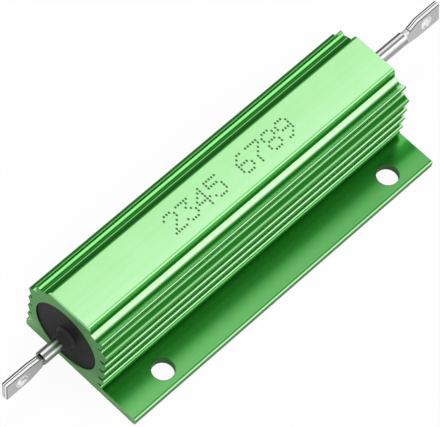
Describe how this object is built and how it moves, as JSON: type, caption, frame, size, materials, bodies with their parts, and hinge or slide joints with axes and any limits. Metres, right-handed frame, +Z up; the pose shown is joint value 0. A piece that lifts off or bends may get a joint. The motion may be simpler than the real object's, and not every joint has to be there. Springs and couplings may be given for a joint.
{
  "type": "aluminium housed resistor",
  "caption": "Wirewound power resistor in a finned, green anodised aluminium extrusion with a flange along one side and a flat eyed terminal at each end.",
  "frame": {"origin": "on the underside of the housing, half way along it and below the axis of the bore", "axes": "+X along the housing towards the longer terminal, -Y towards the mounting flange, +Z up from the mounting face"},
  "size_m": [0.1159, 0.0285, 0.0198],
  "materials": {
    "green_anodised": "satin green anodised extrusion",
    "black_silicone": "matte moulded filling",
    "ceramic": "matte ceramic",
    "resistance_alloy": "drawn ribbon",
    "pressed_steel": "plated pressing",
    "tinned_metal": "tinned, satin"
  },
  "bodies": {
    "root": {"housing": "green_anodised", "potting": "black_silicone", "ceramic_core": "ceramic", "resistance_ribbon": "resistance_alloy", "near_cap": "pressed_steel", "far_cap": "pressed_steel", "near_terminal": "tinned_metal", "far_terminal": "tinned_metal"}
  },
  "joints": []
}
